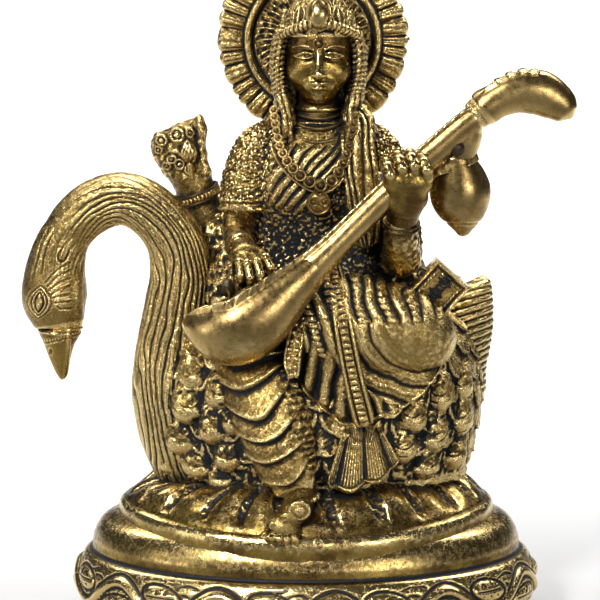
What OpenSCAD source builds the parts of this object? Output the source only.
// Cast brass statuette: a four-armed goddess seated on a swan and playing a veena,
// with a fluted halo, on an oval stepped plinth. Millimetres, +Z up, origin under the
// middle of the object, on the surface that the foot rests on. The front faces -Y.

/* [Plinth] */
// Overall width of the oval foot
plinth_w = 87; // [82:1:90]
// Overall depth of the oval foot
plinth_d = 60; // [56:1:64]
// Wall of the hollow plinth
wall = 2.5; // [2:0.5:4]
// Number of water grooves round the mound
grooves = 34; // [24:2:44]
// Depth of the water grooves
groove_h = 0.5; // [0.2:0.1:0.8]

/* [Swan] */
// Half depth of the swan's body
body_r = 18; // [16:0.5:19]
// Radius of the neck at the top of its arch
neck_r = 4.8; // [4:0.1:5.2]
// Length of the beak
beak_l = 10.5; // [8:0.5:12]

/* [Halo] */
// Outer radius of the fluted ring
halo_r = 17.6; // [16:0.1:18]
// Thickness of the halo
halo_t = 2.6; // [2:0.2:4]
// Number of petals round the halo
petals = 30; // [20:2:40]

/* [Goddess] */
// Height of the crown above the forehead
crown_h = 13; // [9:1:15]
// Share of the spacing that a bead of the necklace fills
bead_fill = 0.84; // [0.6:0.02:0.88]
// Number of beads on the necklace
beads = 27; // [21:2:33]
// Radius of the pegs that hold the arms and the head
peg_r = 1.25; // [0.8:0.05:1.5]

/* [Veena] */
// Largest radius of the bowl
bowl_r = 7; // [6:0.2:8]
// Radius of the neck at the gripping hand
fret_r = 2.3; // [1.8:0.1:2.6]
// Radius of the second gourd
gourd_r = 5.6; // [4.6:0.2:6.2]

/* [Hidden] */

// Brass as it shows: rubbed high spots, darker body, dark recesses
bright = [0.80, 0.62, 0.30];
brass = [0.66, 0.50, 0.22];
dark = [0.42, 0.34, 0.18];
eps = 0.01;

// Middle of the plinth and of the seated figure
plinth_x = 2.1;
figure_x = 4.4;
halo_z = 107.9;
halo_y = 9.5;
deck_z = 20.8;
mound_z = 28;
screw_r = 2;
screw_gap = 30;
bore_fit = 0.1;
rivet_r = 0.9;
stud_r = 1.1;

// ---- Shared shape functions ----

function unit(v) = v / norm(v);
function place(p) = [p[0], p[1], p[2]];

// One point of a smooth curve through the rows a, b, c, d, between b and c
function blend_row(a, b, c, d, t) =
  0.5 * (2 * b + (c - a) * t + (2 * a - 5 * b + 4 * c - d) * t * t
         + (3 * b - a - 3 * c + d) * t * t * t);

// A smooth run of rows through hand-placed rows, with steps rows to each stretch
function run(rows, steps) = let (last = len(rows) - 1)
  [for (i = [0 : last - 1]) for (k = [0 : steps - 1])
     blend_row(rows[max(i - 1, 0)], rows[i], rows[i + 1], rows[min(i + 2, last)], k / steps),
   rows[last]];

// Skin a stack of rings that all have the same number of points
module skin(rings) {
  n = len(rings[0]);
  m = len(rings);
  walls = [for (i = [0 : m - 2]) for (j = [0 : n - 1]) let (k = (j + 1) % n)
    each [[i * n + j, i * n + k, (i + 1) * n + k], [i * n + j, (i + 1) * n + k, (i + 1) * n + j]]];
  low = [[for (j = [n - 1 : -1 : 0]) j]];
  high = [[for (j = [0 : n - 1]) (m - 1) * n + j]];
  points = [for (r = rings) each r];
  polyhedron(points, [for (f = concat(low, walls, high)) [for (q = [len(f) - 1 : -1 : 0]) f[q]]]);
}

// Limb: rows are [x, y, z, radius in the picture plane, radius towards the viewer]
module limb(rows, steps = 2, sides = 12, back = [0, 1, 0]) {
  path = run(rows, steps);
  last = len(path) - 1;
  skin([for (i = [0 : last])
    let (t = unit(place(path[min(i + 1, last)]) - place(path[max(i - 1, 0)])),
         u = unit(cross(back, t)),
         v = cross(t, u),
         a = max(path[i][3], 0.3),
         b = max(path[i][4], 0.3))
    [for (j = [0 : sides - 1]) let (w = 360 * j / sides)
      place(path[i]) + a * cos(w) * u + b * sin(w) * v]]);
}

// Trunk: rows are [z, middle x, middle y, half width, half depth]
module trunk(rows, steps = 2, sides = 20) {
  skin([for (r = run(rows, steps))
    [for (j = [0 : sides - 1]) let (w = 360 * j / sides)
      [r[1] + r[3] * cos(w), r[2] + r[4] * sin(w), r[0]]]]);
}

// Ring of an oval moved outwards by out, at height z
function oval(a, b, out, z, sides) =
  [for (j = [0 : sides - 1]) let (w = 360 * j / sides,
        n = unit([cos(w) / a, sin(w) / b]))
    [plinth_x + a * cos(w) + out * n[0], b * sin(w) + out * n[1], z]];

// Joined solid with the neighbours that follow the first child cut away
module fitted() {
  resize([0, 0, 0]) difference() {
    children(0);
    for (i = [1 : 1 : $children - 1]) children(i);
  }
}

// Straight pin from a to b
module pin(a, b, r) {
  d = b - a;
  translate(a) rotate([0, acos(d[2] / norm(d)), atan2(d[1], d[0])])
    cylinder(r = r, h = norm(d), $fn = 32);
}

// ---- Plinth ----

// Profile rows are [move outwards from the foot's widest line, height]
plinth_rows = [[-3, 0], [-2.2, 0.6], [-2.2, 2.4], [-2.8, 3], [-1.6, 3.4], [-0.6, 4.8], [0, 7.4],
  [-0.4, 10], [-1.4, 12.2], [-2.2, 13.3], [-3.1, 13.5], [-3.4, 15.5], [-4.1, 17.5], [-5.2, 19.2],
  [-7, 20.3], [-9, deck_z]];
plinth_sides = 56;
cavity_h = 17;

module plinth_solid() {
  skin([for (r = plinth_rows) oval(plinth_w / 2, plinth_d / 2, r[0], r[1], plinth_sides)]);
}

module plinth_cavity() {
  cavity_rows = [[-3 - wall, -1], [-3 - wall, 3], [-3 - wall, 11],
    [-6 - wall, cavity_h - 1], [-8 - wall, cavity_h]];
  skin([for (r = cavity_rows) oval(plinth_w / 2, plinth_d / 2, r[0], r[1], plinth_sides)]);
}

module screw_places() {
  for (x = [plinth_x - screw_gap / 2, plinth_x + screw_gap / 2]) translate([x, 0, 0]) children();
}

module plinth_shell() {
  color(brass) difference() {
    fitted() {
      plinth_solid();
      plinth_cavity();
    }
    screw_places() cylinder(r = screw_r + bore_fit, h = deck_z + 1, $fn = 48);
  }
}

mound_a = 35;
mound_b = 25.6;
mound_foot_z = 14;
// Rows are [share of the oval, share of the rise from rim to top, share of the groove depth]
mound_rows = [[0.995, 0, 0.5], [1, 0.2, 1], [0.985, 0.42, 1], [0.94, 0.66, 1], [0.87, 0.85, 1],
  [0.78, 0.96, 0.8], [0.68, 1, 0.3]];
mound_sides = 3 * grooves;

// Height of the lower edge of the rim, which hangs lower at the front and the back
function rim_z(w) = 20.4 - 3 * pow(sin(w), 2);

// Point of the mound at turn w, share of the oval, height and groove share
function mound_point(w, share, z, groove) =
  let (cut = groove_h * groove * pow(abs(cos(grooves * w / 2)), 3))
  [plinth_x + (mound_a * share - cut) * cos(w), (mound_b * share - cut) * sin(w), z];

module mound_solid() {
  turns = [for (j = [0 : mound_sides - 1]) 360 * j / mound_sides];
  skin(concat([[for (w = turns) mound_point(w, 0.97, mound_foot_z, 0)]],
    [for (r = mound_rows) [for (w = turns)
      mound_point(w, r[0], rim_z(w) + (mound_z - rim_z(w)) * r[1], r[2])]]));
}

module water_mound() {
  color(brass) fitted() {
    mound_solid();
    plinth_solid();
    screw_places() cylinder(r = screw_r, h = mound_z + 1, $fn = 48);
  }
}

screw_top = 38;
screw_head_r = 3.6;
screw_head_h = 2;

module base_screws() {
  color(dark) screw_places() {
    translate([0, 0, cavity_h - screw_head_h]) difference() {
      cylinder(r = screw_head_r, h = screw_head_h, $fn = 48);
      translate([-screw_head_r - 1, -0.4, -1]) cube([2 * screw_head_r + 2, 0.8, 1.8]);
    }
    translate([0, 0, cavity_h]) cylinder(r = screw_r - bore_fit / 2, h = screw_top - cavity_h, $fn = 48);
  }
}

// ---- Swan ----

// Rows are [z, middle x, middle y, half width, half depth]
body_rows = [[27.5, 3.7, 1, 28.6, body_r - 1.5], [31, 3.6, 1, 29, body_r - 0.6], [38, 2.8, 1, 31.4, body_r],
  [44, 2.3, 1, 32.5, body_r], [50, 2.6, 1, 32, body_r - 1], [55, 3, 1.5, 30, body_r - 3],
  [59, 4, 2, 24, body_r - 6.5], [61, 4.4, 2, 17, body_r - 9]];

module body_solid() {
  trunk(body_rows, 2, 28);
}

// Height share of z between two body rows, and the near surface there
function body_row(z) = let (i = max([for (k = [0 : len(body_rows) - 2]) body_rows[k][0] <= z ? k : 0]),
  t = (z - body_rows[i][0]) / (body_rows[i + 1][0] - body_rows[i][0]))
  body_rows[i] * (1 - t) + body_rows[i + 1] * t;
function body_y(x, z) = let (r = body_row(z), s = (x - r[1]) / r[3])
  r[2] - r[4] * sqrt(max(1 - s * s, 0));

neck_rows = [[-21.5, -3, 40, 8.2, 9], [-22.4, -3.5, 51, 6.8, 7], [-21.2, -4, 61, 5.8, 5.6],
  [-21.8, -4, 69, 5.3, 5.1], [-26, -4, 76.8, 5, 4.9], [-33, -4, 79.9, neck_r, 4.7],
  [-39.8, -4, 76.4, 4.6, 4.5], [-43.8, -4, 70.5, 4.6, 4.4], [-44.4, -4, 66, 5, 4.6]];
neck_end = [-44.4, -4, 66];

module neck_solid() {
  limb(neck_rows, 3, 14);
}

module swan_body() {
  color(brass) fitted() {
    body_solid();
    neck_solid();
    seat_solids();
    mound_solid();
    screw_places() cylinder(r = screw_r, h = screw_top + 0.4, $fn = 48);
  }
}

// Rounded feather lying on the near flank, hanging from its top
module feather(x, z, w, h) {
  y = body_y(x, z);
  limb([[x, y + 0.8, z + h / 2, w * 0.4, 1], [x, y, z, w * 0.5, 1.5],
        [x, y + 0.2, z - h * 0.35, w * 0.42, 1.4], [x, y + 0.8, z - h / 2, w * 0.12, 0.5]], 2, 10);
}

breast_lobes = [[-18.5, 49, 6.5, 7], [-19, 42.5, 7, 7.5], [-13.5, 46, 6, 6.5], [-20.5, 36, 7, 7.5],
  [-13, 39, 6.5, 7.5], [-16, 32.5, 7, 6.5]];
wing_lobes = [[21, 42, 6, 8], [27, 45, 6, 8], [30.5, 38.5, 5, 8], [24, 36, 6.5, 8], [17.5, 34, 6, 7],
  [28.5, 32, 5.5, 6]];

module feather_group(list) {
  resize([0, 0, 0]) difference() {
    union() {
      for (f = list) feather(f[0], f[1], f[2], f[3]);
    }
    body_solid();
    neck_solid();
    mound_solid();
    skirt_solid();
    hanging_leg_solid();
    hem_fan_solid();
  }
}

module breast_feathers() {
  color(bright) feather_group(breast_lobes);
}

module near_wing() {
  color(bright) feather_group(wing_lobes);
}

module far_wing_solid() {
  limb([[-19, 12.5, 46, 3, 2], [-10, 16.5, 47, 8, 3], [4, 18, 47, 10.5, 3.2], [18, 16.5, 49, 9, 3],
        [28, 12, 53, 5, 2.4], [33.5, 8, 56, 1.5, 1]]);
}

module far_wing() {
  color(brass) fitted() {
    far_wing_solid();
    body_solid();
    tail_solid();
  }
}

tail_rows = [[27, 3, 44, 9.5, 9], [29.6, 3.4, 50, 6.6, 7.5], [31.5, 3.8, 55.5, 5.2, 6],
  [33.8, 4, 60, 3, 4.2], [35.4, 4, 63.4, 0.9, 1.6]];

module tail_solid() {
  limb(tail_rows);
}

module swan_tail() {
  color(brass) fitted() {
    tail_solid();
    body_solid();
  }
}

head_rows = [[-44.4, -4, 66, 5, 4.6], [-44.3, -4.4, 63, 5.9, 5.2], [-44.1, -4.8, 60, 6, 5.2],
  [-43.4, -5, 57, 4.6, 4.2], [-43.3, -5, 56, 4.2, 3.6]];
beak_top = [-43.3, -5, 56];

module swan_neck() {
  color(brass) difference() {
    neck_solid();
    pin(neck_end + [0, 0, -eps], neck_end + [0, 0, 4], peg_r);
  }
}

module swan_head() {
  color(bright) difference() {
    union() {
      limb(head_rows, 3, 14);
      translate([-47.4, -8.4, 61]) sphere(r = 1, $fn = 24);
      translate([-47.4, -0.6, 61]) sphere(r = 1, $fn = 24);
    }
    pin(neck_end + [0, 0, -4], neck_end + [0, 0, eps], peg_r);
  }
}

module swan_beak() {
  color(bright) limb([[beak_top[0], beak_top[1], beak_top[2], 4.2, 3.6],
    [-43.3, -5, 56 - beak_l * 0.3, 3, 2.6], [-43.2, -5, 56 - beak_l * 0.7, 1.5, 1.5],
    [-43.2, -5, 56 - beak_l, 0.3, 0.4]]);
}

module swan_neck_peg() {
  color(dark) pin(neck_end + [0, 0, -4], neck_end + [0, 0, 4], peg_r);
}

// ---- Goddess ----

torso_rows = [[56, 5, -2, 12, 10], [62, 4.6, -1, 13, 9], [68, figure_x, 0.2, 13, 6.6],
  [74, figure_x, 0.4, 13.2, 6], [80, figure_x, -0.2, 13.6, 7.4], [86, figure_x, 0.2, 13, 7],
  [90.5, figure_x, 1, 11.4, 5.6], [93.5, figure_x, 1.5, 7.4, 4.4], [95, figure_x, 1.5, 3.4, 3.4]];

module torso_solid() {
  trunk(torso_rows);
}

// Everything of the goddess that rests in the swan's back
module seat_solids() {
  torso_solid();
  skirt_solid();
  hanging_leg_solid();
}

neck_foot = [figure_x, 1.5, 95];
shoulder_pegs = [
  [[-2, 1, 88], [-9, 0.5, 86]], [[-1, 4, 84], [-6, 6, 81]],
  [[11, 1, 88], [17, 0.5, 86]], [[10, 4, 84], [15, 6, 81]]];

module torso() {
  color(brass) difference() {
    fitted() {
      torso_solid();
      skirt_solid();
    }
    pin(neck_foot + [0, 0, -5], neck_foot + [0, 0, eps], peg_r);
    for (p = shoulder_pegs) pin(p[0], p[1], peg_r);
  }
}

module skirt_solid() {
  resize([0, 0, 0]) union() {
    limb([[-7, -6, 58, 3, 4], [-2, -10, 58.5, 7.5, 7], [8, -12, 58, 8.6, 8], [18, -13, 56.5, 8, 7.2],
          [25.4, -12.5, 55.4, 5.4, 5.6], [28.6, -12, 55.6, 1.6, 2]], 3, 14);
    translate([0, -12, 0]) rotate([90, 0, 0]) linear_extrude(7)
      polygon([[0, 60], [0.6, 48], [5, 42.8], [8.8, 40.6], [12, 40.4], [17.6, 42.1], [22.6, 45.2],
               [26.4, 50], [26, 58], [12, 62]]);
  }
}

module skirt() {
  color(brass) fitted() {
    skirt_solid();
    hanging_leg_solid();
  }
}

module hanging_leg_solid() {
  limb([[-5.6, -11, 56, 6, 6], [-6.6, -14, 50, 7, 6.2], [-5, -16.4, 45, 7.1, 6],
        [-3.2, -17.6, 40, 6.7, 5.6], [-1.8, -18.4, 34.4, 5.4, 4.8], [-0.7, -19.4, 30, 3.6, 3.6],
        [-0.5, -20, 27.4, 2.6, 2.8]], 3, 14);
}

module hanging_leg() {
  color(brass) difference() {
    fitted() {
      hanging_leg_solid();
      mound_solid();
    }
    pin(rivet_in, rivet_out, stud_r);
  }
}

module foot_solid() {
  limb([[-0.6, -18.6, 27.6, 2.4, 3], [-0.8, -21.5, 25.8, 3.2, 2.8], [-0.9, -24.4, 23.8, 3.9, 2.2],
        [-1, -26.6, 22.2, 3.6, 1.4], [-1, -27.6, 21.4, 1.8, 0.7]], 2, 12, [0, 0.5, -1]);
}

module foot() {
  color(bright) fitted() {
    foot_solid();
    hanging_leg_solid();
    mound_solid();
  }
}

module hem_fan_solid() {
  fan_rows = [[6.8, 29.6], [10.2, 29.2], [15.2, 31], [18.8, 34.8], [17.4, 40.4], [8.6, 40]];
  translate([0, -14.5, 0]) rotate([90, 0, 0]) linear_extrude(4.6) polygon(fan_rows);
}

module hem_fan() {
  color(bright) fitted() {
    hem_fan_solid();
    skirt_solid();
    mound_solid();
    body_solid();
    hanging_leg_solid();
  }
}

module centre_pleat() {
  color(bright) fitted() {
    limb([[7.6, -12.5, 66, 1.6, 1.2], [8.4, -17.6, 62, 1.7, 1.2], [9.2, -20, 57, 1.8, 1],
          [10.8, -19.8, 49, 1.9, 0.9], [12.6, -19.6, 41.4, 2, 0.8]], 3, 10);
    skirt_solid();
    torso_solid();
  }
}

module sash_end() {
  color(bright) fitted() {
    limb([[0.4, -17.6, 60, 1, 0.9], [-0.8, -19.6, 56, 1.7, 1], [-1.4, -21, 51.4, 1.9, 0.9],
          [-1, -21.6, 48.2, 1.2, 0.6]], 3, 10);
    skirt_solid();
    hanging_leg_solid();
  }
}

head_solid_rows = [[94.8, figure_x, 1.5, 3.2, 3.2], [97.2, figure_x, 0.4, 2.9, 3.4],
  [98.4, figure_x, -1.6, 3.4, 4.4], [101, figure_x, -0.4, 4.8, 5.8], [104.5, figure_x, 0, 5.3, 6.2],
  [108, figure_x, 0.4, 5.2, 6], [111, figure_x, 0.8, 3.8, 4.6], [112.6, figure_x, 1, 1.4, 2]];

module head_solid() {
  trunk(head_solid_rows);
}

module head() {
  color(bright) difference() {
    fitted() {
      head_solid();
      torso_solid();
    }
    pin(neck_foot + [0, 0, -eps], neck_foot + [0, 0, 5], peg_r);
  }
}

module head_peg() {
  color(dark) pin(neck_foot + [0, 0, -5], neck_foot + [0, 0, 5], peg_r);
}

// Hair and veil: one strand each side of the face, and the fall behind the head
module veil_solid() {
  for (side = [-1, 1])
    limb([[figure_x + side * 4, 0, 109.6, 1.8, 3], [figure_x + side * 5.8, 0, 105, 1.6, 4],
          [figure_x + side * 5.9, 0.6, 100, 1.7, 4.2], [figure_x + side * 5.9, 0.4, 96.4, 2.4, 4.4],
          [figure_x + side * 6.4, 0.6, 93.4, 2.6, 3.6]], 3, 12);
  limb([[figure_x, 4.6, 110, 4.4, 1.6], [figure_x, 6, 104, 5.8, 1.4], [figure_x, 6.2, 98, 6, 1.4],
        [figure_x, 6, 90, 6.4, 1.6]], 2, 14);
}

module hair_veil() {
  color(dark) fitted() {
    veil_solid();
    head_solid();
    torso_solid();
    halo_slab();
  }
}

tiara_z = 107.4;

module tiara() {
  color(bright) resize([0, 0, 0]) difference() {
    trunk([[tiara_z, figure_x, 0, 6.8, 6.6], [tiara_z + 1.4, figure_x, 0, 6.7, 6.8],
      [tiara_z + crown_h * 0.3, figure_x, 0.2, 6, 6.2], [tiara_z + crown_h * 0.6, figure_x, 0.4, 4.6, 4.8],
      [tiara_z + crown_h * 0.85, figure_x, 0.6, 2.4, 2.6], [tiara_z + crown_h, figure_x, 0.8, 0.7, 0.8]],
      2, 24);
    head_solid();
    veil_solid();
    halo_slab();
  }
}

module crown_jewel() {
  jewel_z = tiara_z + crown_h * 0.48;
  color(bright) fitted() {
    limb([[figure_x, -5.6, jewel_z - 2.6, 0.8, 0.8], [figure_x, -5.9, jewel_z - 1, 1.8, 1.2],
          [figure_x, -5.2, jewel_z + 1, 1.6, 1.2], [figure_x, -4.4, jewel_z + 2.4, 0.6, 0.6]], 3, 12);
    trunk([[tiara_z, figure_x, 0, 6.8, 6.6], [tiara_z + crown_h * 0.6, figure_x, 0.4, 4.6, 4.8],
           [tiara_z + crown_h, figure_x, 0.8, 0.7, 0.8]], 1, 24);
  }
}

module brow_mark() {
  brow_z = 106;
  color(bright) fitted() {
    limb([[figure_x, -6.1, brow_z + 1, 0.9, 0.5], [figure_x, -6.3, brow_z, 0.8, 0.6],
          [figure_x, -6.4, brow_z - 1.2, 0.3, 0.3]], 2, 10);
    head_solid();
  }
}

disc_r = 12.4;
ring_w = 0.9;

module halo_slab() {
  translate([figure_x - 1, halo_y + halo_t / 2, halo_z]) rotate([90, 0, 0])
    cylinder(r = halo_r, h = halo_t, $fn = 96);
}

module halo_disc() {
  color(dark) translate([figure_x - 1, halo_y + halo_t / 2, halo_z]) rotate([90, 0, 0]) difference() {
    union() {
      cylinder(r = disc_r, h = halo_t * 0.7, $fn = 96);
      difference() {
        cylinder(r = disc_r, h = halo_t, $fn = 96);
        translate([0, 0, -1]) cylinder(r = disc_r - ring_w, h = halo_t + 2, $fn = 96);
      }
    }
    for (y = rivet_heights) translate([1, y - halo_z, -1]) cylinder(r = rivet_r, h = halo_t + 2, $fn = 32);
  }
}

module halo_petals() {
  petal_out = 1.1;
  color(brass) translate([figure_x - 1, halo_y + halo_t / 2, halo_z]) rotate([90, 0, 0])
    linear_extrude(halo_t) difference() {
      polygon([for (j = [0 : petals * 8 - 1]) let (w = 45 * j / petals,
        r = halo_r - petal_out * (1 - abs(sin(petals * w / 2))))
        [r * cos(w), r * sin(w)]]);
      circle(r = disc_r, $fn = 96);
    }
}

rivet_heights = [halo_z - 4, halo_z - 9];
bracket_t = 2.2;
bracket_y = halo_y + halo_t / 2;

module halo_bracket() {
  color(dark) difference() {
    resize([0, 0, 0]) difference() {
      translate([figure_x, bracket_y + bracket_t, 0]) rotate([90, 0, 0]) union() {
        linear_extrude(bracket_t)
          polygon([[-2.4, halo_z], [2.4, halo_z], [3.4, 88], [3, 79], [-3, 79], [-3.4, 88]]);
        translate([0, 0, bracket_t - eps]) linear_extrude(7)
          polygon([[3.4, 89], [3, 79], [-3, 79], [-3.4, 89]]);
      }
      torso_solid();
      veil_solid();
      halo_slab();
    }
    for (z = rivet_heights)
      pin([figure_x, bracket_y - eps, z], [figure_x, bracket_y + bracket_t + 1, z], rivet_r);
  }
}

module halo_rivets() {
  color(bright) for (z = rivet_heights) {
    pin([figure_x, bracket_y - halo_t * 0.7, z], [figure_x, bracket_y + bracket_t, z], rivet_r);
    pin([figure_x, bracket_y + bracket_t, z], [figure_x, bracket_y + bracket_t + 0.6, z], rivet_r * 1.7);
  }
}

// Bead string: a deep V of graded beads over the bodice
necklace_rows = [[-3.4, -3.6, 95.4], [-3, -6.6, 91], [-0.8, -8.6, 86], [figure_x, -9.4, 82.6],
  [9.2, -8.4, 86], [11.4, -6.6, 91], [12, -3.6, 95.4]];

module necklace_beads() {
  path = run(necklace_rows, 40);
  last = len(path) - 1;
  length = 34;
  color(bright) for (i = [0 : beads - 1]) {
    t = 2 * i / (beads - 1) - 1;
    share = 0.5 + 0.5 * t * (1.2 - 0.2 * t * t);
    spacing = length / (beads - 1) * (1.2 - 0.6 * t * t);
    translate(path[round(share * last)]) sphere(r = spacing * bead_fill / 2, $fn = 16);
  }
}

module pendant() {
  pendant_z = 80;
  color(bright) for (side = [-1, 1])
    translate([figure_x + side * 1.2, -8.2, pendant_z]) rotate([90, 0, 0])
      cylinder(r = 1.2, h = 1.6, $fn = 32);
}

module shawl() {
  color(brass) fitted() {
    limb([[11.6, 4.6, 91, 2.4, 1.4], [11.8, 0.6, 95.4, 2.6, 1.6], [11.4, -4.8, 92.4, 2.8, 1.4],
          [11, -8, 86, 2.9, 1.2], [11.6, -8.4, 79, 2.8, 1.1], [12.6, -7.4, 73, 2.2, 1]],
         3, 12, [0.2, 1, 0.3]);
    torso_solid();
    veil_solid();
    left_front_solid();
  }
}

module right_front_solid() {
  limb([[-3, 1, 90.6, 3.2, 3.6], [-6.4, 0.6, 88, 4, 4.6], [-8.8, -1, 82, 4, 4.6],
        [-10.2, -3.4, 76, 3.6, 4], [-10.4, -8, 72.4, 3, 3.2], [-9.4, -13, 72.6, 2.2, 2.2],
        [-8.2, -16.6, 71.6, 2.4, 1.6], [-7.4, -19.4, 68.8, 2.3, 1.4], [-7.2, -21, 67, 1.4, 0.8]],
       2, 12, [-1, 0.2, 0.2]);
}

module right_arm_front() {
  color(brass) difference() {
    fitted() {
      right_front_solid();
      torso_solid();
      veena_solids();
      skirt_solid();
    }
    pin(shoulder_pegs[0][0], shoulder_pegs[0][1], peg_r);
  }
}

module right_rear_solid() {
  limb([[-2, 4, 85, 3, 3], [-8, 6, 77, 3.6, 3.4], [-12.6, 6, 69.6, 3.8, 3.6],
        [-15.4, 4.6, 73, 3.9, 3.6], [-18.4, 3.6, 80.6, 4.2, 3.6], [-20.4, 3.2, 86.4, 4.4, 3.2],
        [-21.2, 3, 90.6, 4.8, 2.6], [-20.8, 3, 93, 2.6, 1.4]]);
}

module right_arm_rear() {
  color(brass) difference() {
    fitted() {
      right_rear_solid();
      torso_solid();
      right_front_solid();
      body_solid();
      neck_solid();
      bud_solid();
    }
    pin(shoulder_pegs[1][0], shoulder_pegs[1][1], peg_r);
  }
}

module bud_solid() {
  limb([[-18.6, -0.4, 84.6, 1, 0.8], [-19.4, -0.8, 87.6, 2, 1.4], [-20, -0.6, 90.4, 1.6, 1.2],
        [-20.2, 0, 92.4, 0.5, 0.5]], 2, 10);
}

module flower() {
  color(bright) bud_solid();
}

module left_front_solid() {
  limb([[11.6, 1, 90.6, 3.2, 3.6], [15.2, 0.4, 87.4, 4, 4.4], [18, -1.6, 80, 4.2, 4.4],
        [19.6, -5.6, 71.6, 3.9, 3.8], [19.4, -10.4, 72, 3.4, 3.2], [19.3, -14, 77, 2.8, 2.7],
        [19.6, -15.8, 82, 3.8, 3], [19.8, -16.6, 86.6, 4.4, 3.6], [19.8, -16.4, 89.6, 3, 2.4]],
       2, 12, [-1, -0.2, 0.2]);
}

module left_arm_front() {
  color(brass) difference() {
    fitted() {
      left_front_solid();
      torso_solid();
      veena_solids();
      skirt_solid();
    }
    pin(shoulder_pegs[2][0], shoulder_pegs[2][1], peg_r);
  }
}

module left_rear_solid() {
  limb([[10.4, 4, 85, 3, 3], [16, 6, 78, 3.4, 3.4], [22.6, 5.6, 69, 3.4, 3.4],
        [25.4, 1.6, 62.6, 3, 3], [26, -4, 60.8, 2.8, 2.4], [25, -6.6, 60, 1.6, 1.4]], 2, 12, [-1, 0, 0.5]);
}

module left_arm_rear() {
  color(brass) difference() {
    fitted() {
      left_rear_solid();
      torso_solid();
      left_front_solid();
      body_solid();
      skirt_solid();
      book_block(0);
    }
    pin(shoulder_pegs[3][0], shoulder_pegs[3][1], peg_r);
  }
}

module arm_pegs() {
  color(dark) for (p = shoulder_pegs) pin(p[0], p[1], peg_r);
}

// Cuffs where the hands leave the sleeves
cuffs = [
  [[-9.5, -12.4, 72.6], [-9.2, -13.8, 72.5], 2.9],
  [[-17.6, 4, 78.4], [-18.1, 3.8, 79.8], 4.7],
  [[19.3, -13.6, 76.2], [19.4, -14.4, 77.6], 3.4]];

module bangles() {
  color(bright) resize([0, 0, 0]) difference() {
    union() {
      for (c = cuffs) pin(c[0], c[1], c[2]);
    }
    right_front_solid();
    right_rear_solid();
    left_front_solid();
    neck_solid();
    veena_solids();
  }
}

book_w = 7.6;
book_l = 9;
book_t = 3.4;
book_tilt = 42;

module book_block(grow) {
  translate([25.4, -8.6, 63]) rotate([0, book_tilt, 0])
    translate([-book_w / 2 - grow, -book_t / 2 - grow, -book_l / 2 - grow])
      cube([book_w + 2 * grow, book_t + 2 * grow, book_l + 2 * grow]);
}

module book() {
  boss_r = 0.9;
  color(bright) {
    book_block(0);
    translate([25.4, -8.6 - book_t / 2, 63]) rotate([0, book_tilt, 0]) for (z = [-2.6, 0, 2.6])
      translate([0, 0, z]) rotate([90, 0, 0]) cylinder(r = boss_r, h = 0.5, $fn = 32);
  }
}

// ---- Veena ----

bowl_rows = [[-19.8, -19.6, 59.6, 0.6, 0.8], [-17.6, -20, 59.2, bowl_r * 0.48, 3.4],
  [-14, -20.6, 58.6, bowl_r * 0.86, 5.2], [-9.8, -21, 59, bowl_r, 6],
  [-5.6, -20.6, 61.8, bowl_r * 0.93, 5.6], [-1.4, -19.8, 65.6, bowl_r * 0.7, 4.6],
  [3, -18.8, 69.6, bowl_r * 0.5, 3.6]];
neck2_rows = [[3, -18.8, 69.6, bowl_r * 0.5, 3.6], [6.8, -18.2, 73.4, 2.9, 3.2],
  [13.8, -16.8, 79.6, fret_r, 2.6], [20.6, -15.6, 85.6, fret_r, 2.4], [28, -14.4, 92, fret_r, 2.4],
  [32.4, -13.8, 96, fret_r * 1.1, 2.4]];
head2_rows = [[33.6, -13.6, 97, 2.6, 2.4], [36.6, -13.4, 99.2, 3.2, 2.8], [41, -13.2, 100.4, 3.9, 2.8],
  [45.4, -13, 99.6, 3.8, 2.6], [48.3, -13, 97.4, 2.6, 2], [49.65, -13, 96, 0.8, 0.8]];
rivet_in = [-9.6, -16.8, 58.6];
rivet_out = [-8, -10, 57.4];

module bowl_solid() {
  limb(bowl_rows, 3, 18);
}

module neck2_solid() {
  limb(neck2_rows);
}

module veena_solids() {
  bowl_solid();
  neck2_solid();
}

module veena_bowl() {
  color(bright) difference() {
    bowl_solid();
    pin(rivet_in, rivet_out, stud_r);
  }
}

module veena_neck() {
  color(bright) difference() {
    resize([0, 0, 0]) difference() {
      neck2_solid();
      gourd_solid();
    }
    pin(gourd_top, stud_end, stud_r);
  }
}

module veena_collar() {
  color(dark) pin([32.4, -13.8, 96], [33.6, -13.6, 97], 2.9);
}

module veena_peg_head() {
  color(bright) limb(head2_rows);
}

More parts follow.
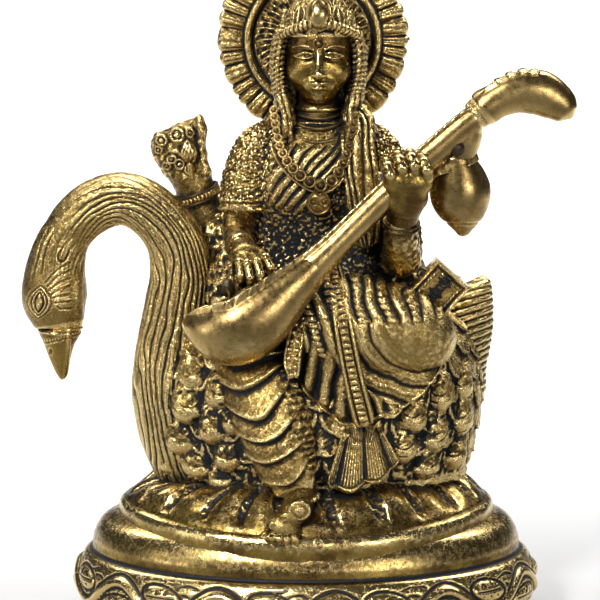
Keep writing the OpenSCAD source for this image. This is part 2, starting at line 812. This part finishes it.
module veena_pegs() {
  peg_rows = [[37, -15, 101.6], [39.6, -15, 103.2], [42.4, -15, 103.6]];
  color(bright) fitted() {
    union() {
      for (p = peg_rows) pin(p, p + [0, 3.6, 0.4], 0.9);
    }
    limb(head2_rows);
  }
}

gourd_c = [30.3, -11, 82.2];
gourd_top = [28.6, -12.4, 87];
stud_end = [28.2, -14, 91];

module gourd_solid() {
  trunk([[gourd_c[2] - gourd_r - 2, gourd_c[0], gourd_c[1], 0.7, 0.7],
    [gourd_c[2] - gourd_r, gourd_c[0], gourd_c[1], 1.6, 1.6],
    [gourd_c[2] - gourd_r * 0.7, gourd_c[0], gourd_c[1], gourd_r * 0.72, gourd_r * 0.66],
    [gourd_c[2], gourd_c[0], gourd_c[1], gourd_r, gourd_r * 0.9],
    [gourd_c[2] + gourd_r * 0.6, gourd_c[0] - 0.6, gourd_c[1] - 0.4, gourd_r * 0.76, gourd_r * 0.7],
    [gourd_c[2] + gourd_r * 1.1, gourd_c[0] - 1.4, gourd_c[1] - 1.4, gourd_r * 0.4, gourd_r * 0.4]],
    3, 18);
}

module upper_gourd() {
  color(bright) difference() {
    fitted() {
      gourd_solid();
      left_front_solid();
    }
    pin(gourd_top - [0, 0, 2], stud_end, stud_r);
  }
}

module gourd_stud() {
  color(dark) pin(gourd_top - [0, 0, 2], stud_end, stud_r);
}

module veena_rivet() {
  color(dark) pin(rivet_in, rivet_out, stud_r);
}

plinth_shell();
water_mound();
base_screws();
swan_body();
breast_feathers();
near_wing();
far_wing();
swan_tail();
swan_neck();
swan_head();
swan_beak();
swan_neck_peg();
torso();
skirt();
hanging_leg();
foot();
hem_fan();
centre_pleat();
sash_end();
head();
head_peg();
hair_veil();
tiara();
crown_jewel();
brow_mark();
halo_disc();
halo_petals();
halo_bracket();
halo_rivets();
necklace_beads();
pendant();
shawl();
right_arm_front();
right_arm_rear();
flower();
left_arm_front();
left_arm_rear();
arm_pegs();
bangles();
book();
veena_bowl();
veena_neck();
veena_collar();
veena_peg_head();
veena_pegs();
upper_gourd();
gourd_stud();
veena_rivet();
